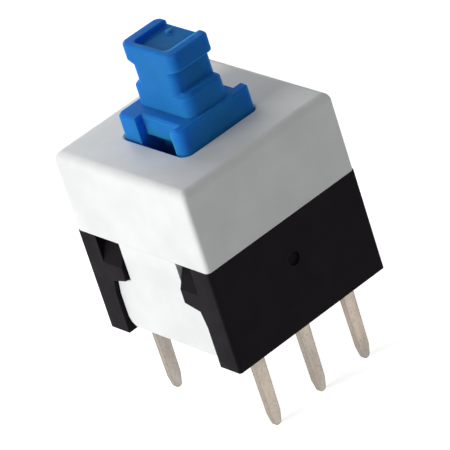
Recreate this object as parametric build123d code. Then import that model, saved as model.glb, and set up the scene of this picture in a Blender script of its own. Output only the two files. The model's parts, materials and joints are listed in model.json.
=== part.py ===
from build123d import *
import math
import os

# Latching pushbutton switch for circuit boards, in millimetres.
# Z is up and z = 0 is the underside of the base. X runs across the two rows of
# terminals and Y along them, with the front of the switch at -Y.

# Housing
housing_width = 8.5
housing_depth = 8.5
seam_height = 4.95          # top of the base walls, where the cover sits
cover_height = 3.83         # cover above the seam
cover_wall = 1.05
cover_roof = 1.28
cover_side_radius = 0.2
cover_top_radius = 0.38
opening_chamfer = 0.08

# Base
floor_thickness = 1.0
base_edge_radius = 0.12
leg_gap = 0.05              # between the floor's ends and the cover's legs
wall_end_extra = 0.12       # the walls are this much thicker beside the legs
tab_reach = 1.18            # how far a snap tab stands in from its wall
tab_gap = 0.05              # behind a tab
tab_bottom_height = 2.73    # underside of a tab, at its wall
tab_tip_rise = 0.2          # the underside rises by this much to its tip
gusset_width = 0.15         # under a tab, in its corner with the wall
gusset_height = 0.75
tab_ramp_height = 3.6       # the lead-in ramp starts here
tab_top_flat = 0.3
dimple_diameter = 0.65
dimple_depth = 0.12
dimple_height = 3.11

# Legs of the cover
leg_recess = 0.2            # the legs lie behind the front of the base
leg_side_gap = 0.08         # neck of the leg to a tab
foot_side_gap = 0.05        # foot of the leg to a wall
foot_height = 0.3           # underside of the foot
foot_radius = 0.55
snap_play = 0.05            # foot to the underside of a tab

# Terminals
row_spacing = 6.5
terminal_pitch = 2.65
tail_root_width = 0.64      # at the underside of the base
tail_width = 0.53           # where the pointed end begins
tail_thickness = 0.3
tail_length = 3.88
tail_taper_length = 0.62
tail_end_width = 0.32
tail_end_thickness = 0.2
tail_end_radius = 0.17
anchor_hole = 0.25          # the base's plastic fills this
anchor_height = 0.6
blade_start = 0.3           # the tail widens here to the common pad
terminal_head_gap = 0.2     # top of the blades, below the seam
common_pad_width = 1.0
pad_gap = 0.7               # common pad to the pads beside it
pad_break = 0.15            # between the levels of the upper and lower pads
pad_overlap = 0.35          # upper pads reach this far below the released strips
lower_pad_lift = 0.3        # lower pads, above the floor

# Plunger
travel = 2.3
latch_travel = 1.5          # the button stays down here
bottom_gap = 0.15           # plunger to the floor when it is pressed home
stop_gap = 0.05             # plunger to the roof when it is released
guide_gap = 0.1
collar_width = 4.1
collar_radius = 0.35
collar_gap = 0.05
collar_chamfer = 0.1
collar_rise = 1.12          # collar above the cover, released
left_post_width = 1.25      # the corner posts are narrower on the right
right_post_width = 0.6
recess_depth = 0.42         # between the posts, in the front and the back of the collar
undercut_lip = 0.2          # a recess is deeper below this height over the cover
undercut_depth = 0.6
shoulder_width = 3.56
shoulder_height = 1.07
shoulder_radius = 0.48
shoulder_chamfer = 0.2
stem_depth = 2.2
stem_setback = 0.07         # the stem stands this far behind the middle
stem_radius = 0.35
neck_width = 2.6
neck_height = 0.95
lip_height = 0.15
head_width = 3.34
head_height = 0.8
head_edge_radius = 0.14
pocket_width = 2.25
pocket_depth = 0.25
pocket_front_rim = 0.25
pocket_radius = 0.3
gate_diameter = 0.26        # moulding stub on the floor of the pocket
gate_height = 0.1
gate_offset = 0.47
gate_setback = 0.7

# Return spring
spring_diameter = 2.6
spring_wire = 0.25
spring_turns = 6
spring_wire_sides = 6       # the round wire is drawn with this many sides
spring_bore_gap = 0.1
spring_boss_gap = 0.25
spring_boss_height = 0.8
bore_roof = 0.45            # plunger left above the spring

# Lock pin and heart cam
lock_wire = 0.4
lock_wire_sides = 12        # the round wire is drawn with this many sides
lock_bend_radius = 0.3
lock_pivot_height = 0.55
lock_pivot_gap = 0.04       # round the pin, in its hole
lock_leg_length = 1.18
lock_tip_length = 0.88
lock_wall_gap = 0.12        # pin to the cover
lock_face_gap = 0.13        # pin to the plunger
lock_tip_lift = 0.5         # tip above the bottom of the released plunger
lock_end_gap = 0.05         # tip to the bottom of its track
lock_end_chamfer = 0.06
swing_angle = 22.5          # degrees, at full travel
track_gap = 0.07            # each side of the tip
release_offset = 0.2        # leads the tip out of the notch, to the far side
channel_half_width = 1.9
notch_half_width = 0.6
notch_floor = 0.25

# Moving contacts
strip_thickness = 0.2
strip_height = 0.85
strip_depth = 0.56          # over the back and the crown of a bump
strip_lift = 0.45           # above the bottom of the plunger
strip_gap = 0.05            # to the ends of its pocket
strip_seat_gap = 0.02
contact_gap = 0.02          # crown of a bump to a terminal
bump_offset = 1.65
bump_crown = 0.3            # straight length on a crown
bump_ramp = 0.3
bump_radius = 0.12
strip_end = 0.08            # straight length past the last ramps

# Planes and faces that several pieces share
half_width = housing_width / 2
half_depth = housing_depth / 2
cover_top = seam_height + cover_height
roof_height = cover_top - cover_roof
wall_face = (row_spacing - tail_thickness) / 2
wall_end_face = wall_face - wall_end_extra
gusset_start = wall_end_face - gusset_width
cover_face_x = half_width - cover_wall
cover_face_y = half_depth - cover_wall
floor_end = cover_face_y - leg_gap
tab_tip = wall_face - tab_reach
tab_slope = tab_tip_rise / (gusset_start - tab_tip)
tab_back = cover_face_y + tab_gap
blade_top = seam_height - terminal_head_gap

body_bottom = floor_thickness + travel + bottom_gap
body_top = roof_height - stop_gap
body_half_width = min(wall_face, cover_face_x) - guide_gap
body_half_depth = cover_face_y - guide_gap
collar_top = cover_top + collar_rise

strip_bottom = body_bottom + strip_lift
upper_pad_bottom = strip_bottom - pad_overlap
lower_pad_top = upper_pad_bottom - pad_break
strip_face = wall_face - contact_gap
strip_back = strip_face - strip_depth

lock_y = cover_face_y - lock_wall_gap - lock_wire / 2
lock_tip_height = body_bottom + lock_tip_lift
lock_arm = lock_tip_height - lock_pivot_height
channel_face = lock_y - lock_wire / 2 - lock_face_gap
track_floor = lock_y - lock_tip_length - lock_end_gap

spring_seat = floor_thickness
spring_top = body_top - bore_roof


def front_and_back(part):
    """The part and its mirror image front to back."""
    return part + mirror(part, about=Plane.XZ)


def prism(outline, plane, start, end):
    """The outline, drawn on the plane, as a solid from start to end along the plane's normal."""
    return extrude(plane.offset(start) * outline, amount=end - start)


def span(x_from, x_to, y_from, y_to):
    """Rectangle between two corners."""
    width = x_to - x_from
    height = y_to - y_from
    return Pos(x_from + width / 2, y_from + height / 2) * Rectangle(width, height)


# ---------------------------------------------------------------- terminals


def tail(y):
    """Flat tail, a little wider at its root, tapered to a rounded end in both directions."""
    root = tail_root_width / 2
    half = tail_width / 2
    end = tail_end_width / 2
    taper_start = tail_taper_length - tail_length
    points = [
        (y - root, anchor_height),
        (y - root, 0),
        (y - half, taper_start),
        (y - end, -tail_length),
        (y + end, -tail_length),
        (y + half, taper_start),
        (y + root, 0),
        (y + root, anchor_height),
    ]
    outline = make_face(Polyline(*points, close=True))
    outline = fillet(outline.vertices().sort_by(Axis.Y)[:2], tail_end_radius)
    blade = prism(outline, Plane.YZ, wall_face, wall_face + tail_thickness)
    middle = wall_face + tail_thickness / 2
    thin = tail_end_thickness / 2
    thick = tail_thickness / 2
    side = [
        (middle - thick, seam_height),
        (middle - thick, taper_start),
        (middle - thin, -tail_length),
        (middle + thin, -tail_length),
        (middle + thick, taper_start),
        (middle + thick, seam_height),
    ]
    envelope = prism(make_face(Polyline(*side, close=True)), Plane.XZ, -half_depth, half_depth)
    return blade & envelope


def terminal(side, y, pads):
    """A stamped terminal: its tail, its moulded-in blade and the pad that the strip slides on."""
    blade = prism(Sketch() + pads, Plane.YZ, wall_face, wall_face + tail_thickness)
    hole = Pos(wall_face, y, anchor_height) * Rot(0, 90, 0) * Cylinder(anchor_hole / 2, 2 * tail_thickness)
    whole = blade + tail(y) - hole
    if side < 0:
        whole = mirror(whole, about=Plane.YZ)
    return whole


def common_terminal(side):
    """Middle terminal, always touched by the strip."""
    half = common_pad_width / 2
    return terminal(side, 0, [span(-half, half, blade_start, blade_top)])


def outer_terminal(side, end):
    """Front terminal (end = -1) with its pad at the top, or back one (end = 1) with it low down."""
    y = end * terminal_pitch
    root = span(y - tail_width / 2, y + tail_width / 2, 0, blade_top if end < 0 else lower_pad_top)
    pad_inner = end * (common_pad_width / 2 + pad_gap)
    pad_outer = end * (terminal_pitch + tail_width / 2)
    low = upper_pad_bottom if end < 0 else floor_thickness + lower_pad_lift
    high = blade_top if end < 0 else lower_pad_top
    pad = span(min(pad_inner, pad_outer), max(pad_inner, pad_outer), low, high)
    return terminal(side, y, [root, pad])


def terminals():
    made = {}
    for side, word in ((-1, "left"), (1, "right")):
        made[f"terminal_{word}_front"] = outer_terminal(side, -1)
        made[f"terminal_{word}_middle"] = common_terminal(side)
        made[f"terminal_{word}_back"] = outer_terminal(side, 1)
    return made


# --------------------------------------------------------------------- base


def snap_tab():
    """Front right tab and the thicker end of the wall under it, with a lead-in ramp on the tab."""
    front = [
        (tab_tip, tab_bottom_height + tab_tip_rise),
        (gusset_start, tab_bottom_height),
        (wall_end_face, tab_bottom_height - gusset_height),
        (wall_end_face, 0),
        (half_width - base_edge_radius, 0),
        (half_width - base_edge_radius, seam_height),
        (tab_tip, seam_height),
    ]
    side = [
        (-half_depth, 0),
        (-half_depth, tab_ramp_height),
        (-tab_back - tab_top_flat, seam_height),
        (-tab_back, seam_height),
        (-tab_back, 0),
    ]
    front_form = prism(make_face(Polyline(*front, close=True)), Plane.XZ, tab_back, half_depth)
    side_form = prism(make_face(Polyline(*side, close=True)), Plane.YZ, tab_tip, wall_face)
    return front_form & side_form


def base(metal):
    """Moulding with two side walls, a floor and four tabs, cast round the terminals."""
    section = span(-half_width, half_width, 0, seam_height)
    section -= span(-wall_face, wall_face, floor_thickness, seam_height)
    body = prism(section, Plane.XZ, -half_depth, half_depth)
    body = fillet(body.edges().filter_by(Axis.Z).group_by(Axis.X)[0], base_edge_radius)
    body = fillet(body.edges().filter_by(Axis.Z).group_by(Axis.X)[-1], base_edge_radius)
    bay = span(-wall_face, wall_face, floor_end, half_depth)
    body -= front_and_back(prism(bay, Plane.XY, 0, floor_thickness))
    tab_pair = snap_tab()
    tab_pair += mirror(tab_pair, about=Plane.YZ)
    body += front_and_back(tab_pair)
    for side in (-1, 1):
        body -= Pos(side * half_width, 0, dimple_height) * Rot(0, 90, 0) * Cylinder(
            dimple_diameter / 2, 2 * dimple_depth
        )
    boss_radius = spring_diameter / 2 - spring_wire - spring_boss_gap
    boss = Pos(0, 0, floor_thickness) * Cylinder(
        boss_radius, spring_boss_height, align=(Align.CENTER, Align.CENTER, Align.MIN)
    )
    boss = chamfer(boss.faces().sort_by(Axis.Z)[-1].edges(), spring_wire / 2)
    body += boss
    body -= lock_seat()
    for piece in metal:
        body -= piece
    return body


def lock_seat():
    """Notch in the back of the floor for the lock pin, and the blind hole that it turns in."""
    notch_front = channel_face
    notch = span(-notch_half_width, notch_half_width, notch_front, floor_end)
    hole_depth = lock_leg_length + lock_end_gap
    hole = Plane((0, lock_y - hole_depth, lock_pivot_height), z_dir=(0, 1, 0)) * Cylinder(
        lock_wire / 2 + lock_pivot_gap, hole_depth, align=(Align.CENTER, Align.CENTER, Align.MIN)
    )
    return prism(notch, Plane.XY, notch_floor, floor_thickness) + hole


# -------------------------------------------------------------------- cover


def cover_leg():
    """Front leg: a neck between the tabs and a foot hooked under them."""
    neck = tab_tip - leg_side_gap
    foot = wall_end_face - foot_side_gap
    tip_line = tab_bottom_height + tab_tip_rise - snap_play
    right = [
        (neck, seam_height + cover_roof),
        (neck, tip_line + tab_slope * leg_side_gap),
        (gusset_start - foot_side_gap, tab_bottom_height - snap_play),
        (foot, tab_bottom_height - gusset_height - snap_play),
        (foot, foot_height),
    ]
    left = [(-x, z) for x, z in reversed(right)]
    outline = make_face(Polyline(*right, *left, close=True))
    outline = fillet(outline.vertices().group_by(Axis.Y)[0], foot_radius)
    return prism(outline, Plane.XZ, cover_face_y, half_depth - leg_recess)


def cover():
    """White shell with a square opening, and a T-shaped leg front and back."""
    outer = prism(Rectangle(housing_width, housing_depth), Plane.XY, seam_height, cover_top)
    outer = fillet(outer.edges().filter_by(Axis.Z), cover_side_radius)
    outer = fillet(outer.faces().sort_by(Axis.Z)[-1].edges(), cover_top_radius)
    inside = Rectangle(2 * cover_face_x, 2 * cover_face_y)
    opening_width = collar_width + 2 * collar_gap
    opening = RectangleRounded(opening_width, opening_width, collar_radius + collar_gap)
    shell = outer - prism(inside, Plane.XY, seam_height, roof_height)
    shell -= prism(opening, Plane.XY, roof_height, cover_top)
    rim = shell.faces().sort_by(Axis.Z)[-1].inner_wires()[0].edges()
    shell = chamfer(rim, opening_chamfer)
    return shell + front_and_back(cover_leg())


# ------------------------------------------------------------------ plunger


def tip_in_plunger(pressed):
    """Centre of the lock pin's tip as the plunger sees it, when it is pressed this far."""
    angle = math.radians(swing_angle) * pressed / travel
    return lock_arm * math.sin(angle), lock_pivot_height + lock_arm * math.cos(angle) + pressed


def heart_track():
    """Outline of the track: entry slot, two legs round the heart, and the gallery over it."""
    width = lock_wire + 2 * track_gap
    steps = 6
    leg = [tip_in_plunger(travel * step / steps) for step in range(steps + 1)]
    top = leg[-1]
    far_top = (-top[0], top[1])
    latch = (0, lock_tip_height + latch_travel)
    release = (-release_offset, latch[1] + release_offset)
    paths = [
        Line((0, body_bottom - width), leg[0]),
        Spline(*leg),
        Spline(*[(-x, z) for x, z in leg]),
        Line(top, latch),
        Line(latch, far_top),
        Line(latch, release),
        Line(release, far_top),
    ]
    outline = Sketch()
    for path in paths:
        outline += trace(path, width)
    for x, z in (leg[0], top, far_top, release):
        outline += Pos(x, z) * Circle(width / 2)
    return outline


def plunger_body():
    """Guided block with the spring bore, the cam face at the back and a pocket in each side."""
    section = Rectangle(2 * body_half_width, 2 * body_half_depth)
    section -= span(-channel_half_width, channel_half_width, channel_face, body_half_depth)
    block = prism(section, Plane.XY, body_bottom, body_top)
    block -= prism(heart_track(), Plane.XZ, -channel_face, -track_floor)
    bore = Circle(spring_diameter / 2 + spring_bore_gap)
    block -= prism(bore, Plane.XY, body_bottom, spring_top)
    pocket_half = strip_half_length() + strip_gap
    pocket_floor = strip_back - strip_seat_gap
    for side in (-1, 1):
        near, far = sorted((side * pocket_floor, side * body_half_width))
        pocket = span(near, far, -pocket_half, pocket_half)
        block -= prism(pocket, Plane.XY, strip_bottom - strip_gap, strip_bottom + strip_height + strip_gap)
    return block


def recess(depth):
    """The recess in the front of the collar, seen from above, this deep."""
    half = collar_width / 2
    return span(left_post_width - half, half - right_post_width, -half, depth - half)


def collar():
    """Square collar with a corner post at each side of its front and back recesses."""
    outline = RectangleRounded(collar_width, collar_width, collar_radius)
    outline -= front_and_back(recess(recess_depth))
    block = prism(outline, Plane.XY, body_top, collar_top)
    block = chamfer(block.faces().sort_by(Axis.Z)[-1].edges(), collar_chamfer)
    undercut = prism(recess(recess_depth + undercut_depth), Plane.XY, body_top, cover_top + undercut_lip)
    return block - front_and_back(undercut)


def stem_outline(width, radius):
    return Pos(0, stem_setback) * RectangleRounded(width, stem_depth, radius)


def stem():
    """Chamfered shoulder, neck, and the head that a cap snaps over."""
    neck_start = collar_top + shoulder_height
    lip_start = neck_start + neck_height
    head_start = lip_start + lip_height
    head_top = head_start + head_height
    pocket_floor = head_top - pocket_depth
    shoulder = prism(stem_outline(shoulder_width, shoulder_radius), Plane.XY, collar_top, neck_start)
    shoulder = chamfer(shoulder.faces().sort_by(Axis.Z)[-1].edges(), shoulder_chamfer)
    neck = prism(stem_outline(neck_width, stem_radius), Plane.XY, neck_start - shoulder_chamfer, lip_start)
    head = prism(stem_outline(head_width, stem_radius), Plane.XY, head_start, head_top)
    head = fillet(head.faces().sort_by(Axis.Z)[-1].edges(), head_edge_radius)
    lip = loft(
        [
            Plane.XY.offset(lip_start) * stem_outline(neck_width, stem_radius),
            Plane.XY.offset(head_start) * stem_outline(head_width, stem_radius),
        ]
    )
    pocket_front = stem_setback - stem_depth / 2 + pocket_front_rim
    pocket = RectangleRounded(pocket_width, 2 * stem_depth, pocket_radius)
    head -= prism(Pos(0, pocket_front + stem_depth) * pocket, Plane.XY, pocket_floor, head_top)
    gate = Pos(-gate_offset, gate_setback) * Circle(gate_diameter / 2)
    return shoulder + neck + lip + head + prism(gate, Plane.XY, pocket_floor, pocket_floor + gate_height)


def plunger():
    return plunger_body() + collar() + stem()


# ------------------------------------------------------------- inner pieces


def strip_half_length():
    return bump_offset + bump_crown / 2 + bump_ramp + strip_end


def moving_contact(side):
    """Folded strip with three rounded bumps that bridge the terminals."""
    back = strip_back + strip_thickness / 2
    crown = strip_face - strip_thickness / 2
    crown_half = bump_crown / 2
    ramp_end = crown_half + bump_ramp
    points = [(back, -strip_half_length())]
    for centre in (-bump_offset, 0, bump_offset):
        points += [
            (back, centre - ramp_end),
            (crown, centre - crown_half),
            (crown, centre + crown_half),
            (back, centre + ramp_end),
        ]
    points.append((back, strip_half_length()))
    path = FilletPolyline(*points, radius=bump_radius)
    strip = prism(trace(path, strip_thickness), Plane.XY, strip_bottom, strip_bottom + strip_height)
    if side < 0:
        strip = mirror(strip, about=Plane.YZ)
    return strip


def lock_pin():
    """Bent wire: a leg that turns in the floor, an upright arm and a tip in the heart track."""
    path = FilletPolyline(
        (0, lock_y - lock_leg_length, lock_pivot_height),
        (0, lock_y, lock_pivot_height),
        (0, lock_y, lock_tip_height),
        (0, lock_y - lock_tip_length, lock_tip_height),
        radius=lock_bend_radius,
    )
    section = Plane(path @ 0, z_dir=path % 0) * RegularPolygon(lock_wire / 2, lock_wire_sides)
    wire = sweep(section, path=path)
    ends = wire.faces().sort_by(Axis.Y)[:2]
    return chamfer(ends.edges(), lock_end_chamfer)


def return_spring():
    """Coil spring with its ends ground flat."""
    radius = (spring_diameter - spring_wire) / 2
    height = spring_top - spring_seat
    path = Helix(height / spring_turns, height, radius, center=(0, 0, spring_seat))
    section = Plane(path @ 0, z_dir=path % 0) * RegularPolygon(spring_wire / 2, spring_wire_sides)
    coil = sweep(section, path=path, is_frenet=True)
    return coil & prism(Circle(spring_diameter), Plane.XY, spring_seat, spring_top)


def main():
    pieces = terminals()
    pieces["base"] = base(list(pieces.values()))
    pieces["cover"] = cover()
    pieces["plunger"] = plunger()
    pieces["moving_contact_left"] = moving_contact(-1)
    pieces["moving_contact_right"] = moving_contact(1)
    pieces["lock_pin"] = lock_pin()
    pieces["return_spring"] = return_spring()
    os.makedirs("parts", exist_ok=True)
    for name, piece in pieces.items():
        piece.label = name
        export_step(piece, f"parts/{name}.step")


main()
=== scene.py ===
import bpy
import json
import math
from mathutils import Matrix, Vector

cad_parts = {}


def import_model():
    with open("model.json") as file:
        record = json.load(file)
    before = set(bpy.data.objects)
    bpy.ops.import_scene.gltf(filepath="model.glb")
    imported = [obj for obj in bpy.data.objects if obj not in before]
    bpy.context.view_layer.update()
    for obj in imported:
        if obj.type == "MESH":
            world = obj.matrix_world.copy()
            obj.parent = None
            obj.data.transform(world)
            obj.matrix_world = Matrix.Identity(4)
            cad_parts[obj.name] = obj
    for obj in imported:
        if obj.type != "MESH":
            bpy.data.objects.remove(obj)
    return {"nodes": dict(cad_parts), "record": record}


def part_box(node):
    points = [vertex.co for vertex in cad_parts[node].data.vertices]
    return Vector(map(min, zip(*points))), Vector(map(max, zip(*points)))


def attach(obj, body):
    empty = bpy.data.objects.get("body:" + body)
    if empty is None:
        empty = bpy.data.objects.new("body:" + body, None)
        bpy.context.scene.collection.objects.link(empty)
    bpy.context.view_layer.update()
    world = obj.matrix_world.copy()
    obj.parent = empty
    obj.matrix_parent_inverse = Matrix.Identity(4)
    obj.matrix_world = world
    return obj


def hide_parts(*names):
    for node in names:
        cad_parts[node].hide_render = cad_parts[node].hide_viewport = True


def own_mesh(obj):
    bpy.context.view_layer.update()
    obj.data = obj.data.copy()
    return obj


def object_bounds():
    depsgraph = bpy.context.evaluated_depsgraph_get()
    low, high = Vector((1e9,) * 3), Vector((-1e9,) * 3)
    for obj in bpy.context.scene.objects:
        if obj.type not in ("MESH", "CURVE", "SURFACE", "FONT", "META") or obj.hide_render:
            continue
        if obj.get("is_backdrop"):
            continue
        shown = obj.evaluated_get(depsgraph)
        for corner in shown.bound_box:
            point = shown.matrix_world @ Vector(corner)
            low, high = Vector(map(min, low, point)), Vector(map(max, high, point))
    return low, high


MM = 0.001

# Camera, as it stands to the switch, with angles in degrees
CAMERA_AZIMUTH = 56.8           # from the front towards the right
CAMERA_ELEVATION = 29.2
CAMERA_ROLL = -18.1
CAMERA_DISTANCE = 184.8 * MM
CAMERA_SHIFT_RIGHT = -0.93 * MM
CAMERA_SHIFT_UP = 3.03 * MM
CAMERA_LENS = 349.9             # focal length for a sensor 36 wide, both in millimetres
SENSOR_WIDTH = 36.0
CLIP_START = 10 * MM
CLIP_END = 10000 * MM

# Return spring
SPRING_WIRE = 0.25 * MM
SPRING_TURNS = 6
SPRING_STEPS = 40               # lengths of wire drawn in a turn
SPRING_SIDES = 12               # sides of the round wire

NOISE_ROUGHNESS = 0.55          # of the clouds, grain and streaks of every material

# Moulded plastic, in millimetres
SOFT_EDGE = 0.06                # the shading of an edge is rounded over this
# Paler edges of the plastics are partly wear and partly a painted highlight along the edges.
WORN_AND_HIGHLIGHT_EDGE = 0.09                # paler this near to an edge
CLOUD_SIZE = 2.2
GLOSS_PATCH_SIZE = 0.9
GRAIN_SIZE = 0.045
WAVE_SIZE = 1.6
WAVE_DEPTH = 0.02

# Plated strip, in millimetres
STREAK_SIZE = 0.4
# the grey drift is partly tarnish, partly painted shade sized to fall on the pin that stands in shade
TARNISH_AND_SHADE_SIZE = 5.5              # slow change from warm to grey
SPECK_SIZE = 0.13
# darker edges of the plated parts: sheared metal and painted shade
SHEARED_AND_SHADED_EDGE = 0.1              # darker this near to an edge
LINE_SIZE = 0.06                # drawing lines of the strip
LINE_DEPTH = 0.004
DENT_SIZE = 0.35
DENT_DEPTH = 0.012
# narrow faces darker: sheared finish and painted shade
SHEARED_AND_SHADED_FACES = (0, 1, 0)       # the narrow faces of the terminals look along Y

# Studio
FLOOR_HALF_WIDTH = 0.6
FLOOR_COLOUR = (0.93, 0.93, 0.93)
FLOOR_CLOUD_SIZE = 40.0         # in millimetres
FLOOR_GLOW = 0.72               # only for what looks at the floor, so that it shows white
SKY_LIGHT = 0.20
WHITE = (1.0, 1.0, 1.0, 1.0)


def darker(colour, share):
    """The colour with each channel cut to this share of it."""
    return tuple(share * channel for channel in colour)


def add(name, data):
    """A new object in the scene."""
    thing = bpy.data.objects.new(name, data)
    bpy.context.scene.collection.objects.link(thing)
    return thing


# ------------------------------------------------------------------ materials


class Shader:
    """A material being built: short ways to add and join its nodes."""

    def __init__(self, name, base, roughness, metallic=0.0, specular=0.5):
        self.material = bpy.data.materials.new(name)
        self.material.use_nodes = True
        self.nodes = self.material.node_tree.nodes
        self.links = self.material.node_tree.links
        self.surface = self.nodes["Principled BSDF"]
        self.surface.inputs["Base Color"].default_value = (*base, 1.0)
        self.surface.inputs["Roughness"].default_value = roughness
        self.surface.inputs["Metallic"].default_value = metallic
        self.surface.inputs["Specular IOR Level"].default_value = specular
        self.place = self.nodes.new("ShaderNodeTexCoord")
        self.relief = None

    def join(self, source, target):
        self.links.new(source, target)

    def feed(self, name, socket):
        """Joins a socket to this input of the surface."""
        self.join(socket, self.surface.inputs[name])

    def noise(self, size, detail, scale=(1, 1, 1)):
        """Cloudy noise: its features have this size in millimetres, divided by the scale on each axis."""
        mapping = self.nodes.new("ShaderNodeMapping")
        mapping.inputs["Scale"].default_value = [axis / MM for axis in scale]
        self.join(self.place.outputs["Object"], mapping.inputs["Vector"])
        noise = self.nodes.new("ShaderNodeTexNoise")
        noise.inputs["Scale"].default_value = 1.0 / size
        noise.inputs["Detail"].default_value = detail
        noise.inputs["Roughness"].default_value = NOISE_ROUGHNESS
        self.join(mapping.outputs["Vector"], noise.inputs["Vector"])
        return noise.outputs["Fac"]

    def spread(self, value, low, high, to_low=0.0, to_high=1.0):
        """Values from low to high, spread from to_low to to_high."""
        node = self.nodes.new("ShaderNodeMapRange")
        node.inputs["From Min"].default_value = low
        node.inputs["From Max"].default_value = high
        node.inputs["To Min"].default_value = to_low
        node.inputs["To Max"].default_value = to_high
        self.join(value, node.inputs["Value"])
        return node.outputs["Result"]

    def mix(self, factor, first, second):
        """Colour from first to second; each is a colour or a socket."""
        node = self.nodes.new("ShaderNodeMix")
        node.data_type = "RGBA"
        self.join(factor, node.inputs["Factor"])
        for value, name in ((first, "A"), (second, "B")):
            socket = [each for each in node.inputs if each.name == name and each.type == "RGBA"][0]
            if isinstance(value, tuple):
                socket.default_value = (*value, 1.0)
            else:
                self.join(value, socket)
        return [each for each in node.outputs if each.type == "RGBA"][0]

    def dot(self, first, second):
        """How far two directions agree; the second is a socket or three numbers."""
        node = self.nodes.new("ShaderNodeVectorMath")
        node.operation = "DOT_PRODUCT"
        self.join(first, node.inputs[0])
        if isinstance(second, tuple):
            node.inputs[1].default_value = second
        else:
            self.join(second, node.inputs[1])
        return node.outputs["Value"]

    def rounded(self, radius, samples):
        """Normals rounded over this many millimetres at the edges."""
        bevel = self.nodes.new("ShaderNodeBevel")
        bevel.samples = samples
        bevel.inputs["Radius"].default_value = radius * MM
        return bevel.outputs["Normal"]

    def edges(self, radius, most):
        """The most on an edge, falling to 0 within this many millimetres of it."""
        flat = self.nodes.new("ShaderNodeNewGeometry").outputs["Normal"]
        agreement = self.dot(self.rounded(radius, samples=4), flat)
        return self.spread(agreement, 0.99, 0.8, 0.0, most)

    def facing(self, axis, most):
        """The most on the faces that look along this axis, either way, and 0 on the faces beside them."""
        either_way = self.nodes.new("ShaderNodeMath")
        either_way.operation = "ABSOLUTE"
        self.join(self.dot(self.place.outputs["Normal"], axis), either_way.inputs[0])
        return self.spread(either_way.outputs["Value"], 0.5, 0.9, 0.0, most)

    def soften(self, radius):
        """Rounds the shading of the edges over this many millimetres."""
        self.relief = self.rounded(radius, samples=6)
        self.feed("Normal", self.relief)

    def bump(self, height, depth, strength=1.0):
        """Adds relief of this depth in millimetres."""
        node = self.nodes.new("ShaderNodeBump")
        node.inputs["Distance"].default_value = depth * MM
        node.inputs["Strength"].default_value = strength
        self.join(height, node.inputs["Height"])
        if self.relief is not None:
            self.join(self.relief, node.inputs["Normal"])
        self.relief = node.outputs["Normal"]
        self.feed("Normal", self.relief)

    def glow_inside(self, weight, depth, tint):
        """Lets light through this many millimetres, by its tint, as dyed plastic does."""
        self.surface.inputs["Subsurface Weight"].default_value = weight
        self.surface.inputs["Subsurface Scale"].default_value = depth * MM
        self.surface.inputs["Subsurface Radius"].default_value = tint

    def clear_from_behind(self):
        """Lets the back of a sheet be looked through."""
        clear = self.nodes.new("ShaderNodeBsdfTransparent")
        either = self.nodes.new("ShaderNodeMixShader")
        self.join(self.nodes.new("ShaderNodeNewGeometry").outputs["Backfacing"], either.inputs[0])
        self.join(self.surface.outputs["BSDF"], either.inputs[1])
        self.join(clear.outputs["BSDF"], either.inputs[2])
        self.join(either.outputs["Shader"], self.nodes["Material Output"].inputs["Surface"])


def moulded(name, base, cloudy, worn_and_highlight, roughness, specular, grain_depth):
    """Injection-moulded plastic: faint clouding, paler edges from wear and a painted edge highlight,
    uneven gloss, grain and shallow waves.
    """
    shader = Shader(name, base, roughness, specular=specular)
    shader.soften(SOFT_EDGE)
    clouds = shader.spread(shader.noise(CLOUD_SIZE, detail=3.0), 0.35, 0.65)
    tone = shader.mix(clouds, base, cloudy)
    # Paler edges: partly wear, partly a painted highlight along the edges.
    shader.feed("Base Color", shader.mix(shader.edges(WORN_AND_HIGHLIGHT_EDGE, most=0.6), tone, worn_and_highlight))
    patches = shader.noise(GLOSS_PATCH_SIZE, detail=5.0)
    shader.feed("Roughness", shader.spread(patches, 0.3, 0.7, roughness - 0.07, roughness + 0.09))
    shader.bump(shader.noise(GRAIN_SIZE, detail=2.0), grain_depth)
    shader.bump(shader.noise(WAVE_SIZE, detail=1.0), WAVE_DEPTH, strength=0.5)
    return shader


def plated(name, base, dull, roughness, lines):
    """Plated strip: drawing lines, dull streaks, a grey drift that is partly tarnish and partly painted
    shade, specks, and narrow faces and edges darkened partly by their sheared finish and partly by
    painted shade.

    The drawing lines run along the axis whose number in lines is small.
    """
    shader = Shader(name, base, roughness, metallic=1.0)
    grey = (0.8 * base[2],) * 3
    # The darkest tone, for the specks and for the painted shade on narrow faces and edges.
    dark_tone = darker(dull, 0.5)
    streaks = shader.noise(STREAK_SIZE, detail=5.0, scale=[0.3 + 0.7 * axis for axis in lines])
    streaks = shader.spread(streaks, 0.4, 0.66)
    # Slow grey drift: partly tarnish, partly painted shade sized to fall on the pin that stands in shade.
    tarnish_and_shade = shader.spread(shader.noise(TARNISH_AND_SHADE_SIZE, detail=1.0), 0.45, 0.6, 0.0, 0.7)
    specks = shader.spread(shader.noise(SPECK_SIZE, detail=4.0), 0.5, 0.68, 0.0, 0.4)
    tone = shader.mix(streaks, base, dull)
    tone = shader.mix(tarnish_and_shade, tone, grey)
    tone = shader.mix(specks, tone, dark_tone)
    # Narrow faces and edges darker: partly their sheared finish, partly painted shade.
    tone = shader.mix(shader.facing(SHEARED_AND_SHADED_FACES, most=0.4), tone, dark_tone)
    shader.feed("Base Color", shader.mix(shader.edges(SHEARED_AND_SHADED_EDGE, most=0.75), tone, dark_tone))
    shader.feed("Roughness", shader.spread(streaks, 0.0, 1.0, roughness, roughness + 0.15))
    shader.bump(shader.noise(LINE_SIZE, detail=3.0, scale=lines), LINE_DEPTH)
    shader.bump(shader.noise(DENT_SIZE, detail=2.0), DENT_DEPTH, strength=0.6)
    return shader


def cover_plastic():
    return moulded(
        "cover_white",
        base=(0.82, 0.835, 0.83),
        cloudy=(0.76, 0.775, 0.77),
        # paler edge colour: wear and a painted edge highlight
        worn_and_highlight=(0.88, 0.88, 0.87),
        roughness=0.42,
        specular=0.15,
        grain_depth=0.0035,
    )


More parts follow.
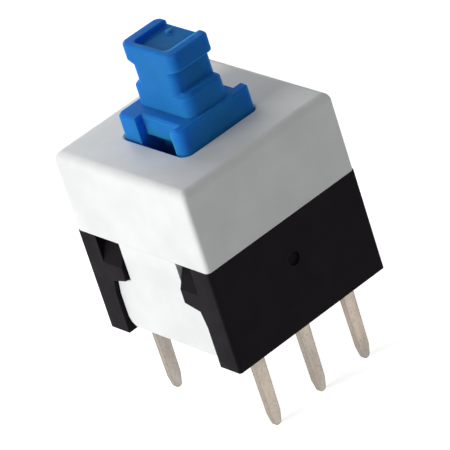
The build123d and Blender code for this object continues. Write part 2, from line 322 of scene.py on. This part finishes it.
def base_plastic():
    return moulded(
        "base_black",
        base=(0.006, 0.0045, 0.0062),
        cloudy=(0.0085, 0.0065, 0.0085),
        # paler edge colour: wear and a painted edge highlight
        worn_and_highlight=(0.022, 0.018, 0.023),
        roughness=0.5,
        specular=0.045,
        grain_depth=0.006,
    )


def button_plastic():
    shader = moulded(
        "button_blue",
        base=(0.019, 0.187, 0.515),
        cloudy=(0.016, 0.162, 0.455),
        # paler, bluer edge colour: wear and a painted highlight on the rims
        worn_and_highlight=(0.03, 0.25, 0.64),
        roughness=0.42,
        specular=0.02,
        grain_depth=0.003,
    )
    shader.glow_inside(weight=0.8, depth=1.8, tint=(0.05, 0.3, 1.0))
    return shader


def terminal_metal():
    return plated(
        "terminal_silver",
        base=(0.53, 0.455, 0.38),
        dull=(0.44, 0.37, 0.305),
        roughness=0.3,
        lines=(1, 1, 0.05),
    )


def contact_metal():
    return plated(
        "contact_silver",
        base=(0.82, 0.74, 0.64),
        dull=(0.68, 0.58, 0.47),
        roughness=0.25,
        lines=(1, 0.05, 1),
    )


def spring_steel():
    return plated(
        "spring_steel",
        base=(0.62, 0.62, 0.64),
        dull=(0.5, 0.5, 0.52),
        roughness=0.3,
        lines=(1, 1, 0.2),
    )


# One finish for each material slot of the record
FINISHES = {
    "cover_plastic": cover_plastic,
    "base_plastic": base_plastic,
    "button_plastic": button_plastic,
    "terminal_metal": terminal_metal,
    "contact_metal": contact_metal,
    "spring_steel": spring_steel,
}


def dress(frame):
    """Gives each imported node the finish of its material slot."""
    materials = {slot: finish().material for slot, finish in FINISHES.items()}
    slots = {part["node"]: part["material_slot"] for part in frame["record"]["subparts"]}
    for node, thing in frame["nodes"].items():
        thing.data.materials.clear()
        thing.data.materials.append(materials[slots[node]])


# --------------------------------------------------------------------- spring


def coil(low, high):
    """Round wire wound between two corners, with its ends ground flat, as points and faces."""
    wire = SPRING_WIRE / 2
    radius = (high[0] - low[0]) / 2 - wire
    steps = SPRING_TURNS * SPRING_STEPS
    rise = (high[2] - low[2]) / steps
    slope = math.atan2(rise * SPRING_STEPS, math.tau * radius)
    points = []
    for step in range(steps + 1):
        turn = math.tau * step / SPRING_STEPS
        outward = Vector((math.cos(turn), math.sin(turn), 0))
        along = Vector((
            -math.sin(turn) * math.cos(slope),
            math.cos(turn) * math.cos(slope),
            math.sin(slope),
        ))
        upward = outward.cross(along)
        centre = outward * radius + Vector((0, 0, low[2] + rise * step))
        for side in range(SPRING_SIDES):
            angle = math.tau * side / SPRING_SIDES
            point = centre + wire * (math.cos(angle) * outward + math.sin(angle) * upward)
            points.append((point.x, point.y, min(max(point.z, low[2]), high[2])))
    first_end = tuple(reversed(range(SPRING_SIDES)))
    last_end = tuple(range(len(points) - SPRING_SIDES, len(points)))
    faces = [first_end, last_end]
    for start in range(0, steps * SPRING_SIDES, SPRING_SIDES):
        ahead = start + SPRING_SIDES
        for side in range(SPRING_SIDES):
            after = (side + 1) % SPRING_SIDES
            faces.append((start + side, start + after, ahead + after, ahead + side))
    return points, faces


def return_spring(frame):
    """The coil in round wire, in place of the plain spring part, fixed to the housing."""
    low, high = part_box("return_spring")
    mesh = bpy.data.meshes.new("return_spring_wire")
    points, faces = coil(low, high)
    mesh.from_pydata(points, [], faces)
    mesh.shade_smooth()
    mesh.materials.append(frame["nodes"]["return_spring"].data.materials[0])
    thing = add("return_spring_wire", mesh)
    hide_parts("return_spring")
    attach(thing, "housing")
    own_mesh(thing)


# ------------------------------------------------------- camera, floor, lamps


def view_axes(azimuth, elevation, roll=0.0):
    """Right, up and back of what looks at the switch from here, with angles in degrees."""
    azimuth, elevation, roll = (math.radians(angle) for angle in (azimuth, elevation, roll))
    back = Vector((
        math.sin(azimuth) * math.cos(elevation),
        -math.cos(azimuth) * math.cos(elevation),
        math.sin(elevation),
    ))
    right = (-back).cross(Vector((0, 0, 1))).normalized()
    up = right.cross(-back)
    return (
        math.cos(roll) * right + math.sin(roll) * up,
        -math.sin(roll) * right + math.cos(roll) * up,
        back,
    )


def stand(name, data, axes, place):
    """A new camera or lamp at a place, turned to these axes."""
    thing = add(name, data)
    thing.matrix_world = Matrix.Translation(place) @ Matrix(axes).transposed().to_4x4()
    return thing


def camera():
    """The camera at the angle from which the switch is shown."""
    right, up, back = view_axes(CAMERA_AZIMUTH, CAMERA_ELEVATION, CAMERA_ROLL)
    place = right * CAMERA_SHIFT_RIGHT + up * CAMERA_SHIFT_UP + back * CAMERA_DISTANCE
    lens = bpy.data.cameras.new("camera")
    lens.sensor_width = SENSOR_WIDTH
    lens.lens = CAMERA_LENS
    lens.clip_start = CLIP_START
    lens.clip_end = CLIP_END
    bpy.context.scene.camera = stand("camera", lens, (right, up, back), place)


def lamp(name, azimuth, elevation, distance, size, power):
    """Square soft box that faces the middle of the switch."""
    light = bpy.data.lights.new(name, "AREA")
    light.shape = "SQUARE"
    light.size = size
    light.energy = power
    right, up, back = view_axes(azimuth, elevation)
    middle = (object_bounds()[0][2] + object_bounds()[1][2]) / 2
    stand(name, light, (right, up, back), back * distance + Vector((0, 0, middle)))


def seen_directly(nodes, links):
    """1 for what the camera or a reflection looks at, 0 for light that falls on the part."""
    path = nodes.new("ShaderNodeLightPath")
    seen = path.outputs["Is Camera Ray"]
    for kind in ("Is Glossy Ray", "Is Transmission Ray"):
        either = nodes.new("ShaderNodeMath")
        either.operation = "MAXIMUM"
        links.new(seen, either.inputs[0])
        links.new(path.outputs[kind], either.inputs[1])
        seen = either.outputs["Value"]
    return seen


def floor(height):
    """Pale paper under the pin tips, white where the camera sees it past the shadow."""
    half = FLOOR_HALF_WIDTH
    mesh = bpy.data.meshes.new("floor")
    corners = [(-half, -half, height), (half, -half, height), (half, half, height), (-half, half, height)]
    mesh.from_pydata(corners, [], [(0, 1, 2, 3)])
    thing = add("floor", mesh)
    shader = Shader("floor_paper", FLOOR_COLOUR, 0.9, specular=0.1)
    clouds = shader.spread(shader.noise(FLOOR_CLOUD_SIZE, detail=2.0), 0.3, 0.7)
    shader.feed("Base Color", shader.mix(clouds, FLOOR_COLOUR, darker(FLOOR_COLOUR, 0.985)))
    shader.surface.inputs["Emission Color"].default_value = WHITE
    seen = seen_directly(shader.nodes, shader.links)
    shader.feed("Emission Strength", shader.spread(seen, 0.0, 1.0, 0.0, FLOOR_GLOW))
    shader.clear_from_behind()
    mesh.materials.append(shader.material)
    thing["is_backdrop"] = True


def world():
    """Even grey light all round, and white where the camera or a reflection looks at it."""
    sky = bpy.data.worlds.new("studio")
    sky.use_nodes = True
    nodes = sky.node_tree.nodes
    links = sky.node_tree.links
    background = nodes["Background"]
    background.inputs["Color"].default_value = WHITE
    strength = nodes.new("ShaderNodeMapRange")
    strength.inputs["To Min"].default_value = SKY_LIGHT
    strength.inputs["To Max"].default_value = 1.0
    links.new(seen_directly(nodes, links), strength.inputs["Value"])
    links.new(strength.outputs["Result"], background.inputs["Strength"])
    bpy.context.scene.world = sky


def lamps():
    """A broad key from the front, a small one from the left, and weak ones behind and to the right."""
    lamp("key", azimuth=-8, elevation=15, distance=0.15, size=0.09, power=0.184)
    lamp("left", azimuth=-95, elevation=40, distance=0.022, size=0.014, power=0.0015)
    lamp("right", azimuth=115, elevation=4, distance=0.06, size=0.045, power=0.0026)
    lamp("back", azimuth=178, elevation=4, distance=0.15, size=0.10, power=0.030)


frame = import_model()
cad_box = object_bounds()
bpy.context.scene.view_settings.view_transform = "Standard"
camera()
dress(frame)
return_spring(frame)
floor(cad_box[0][2])
world()
lamps()
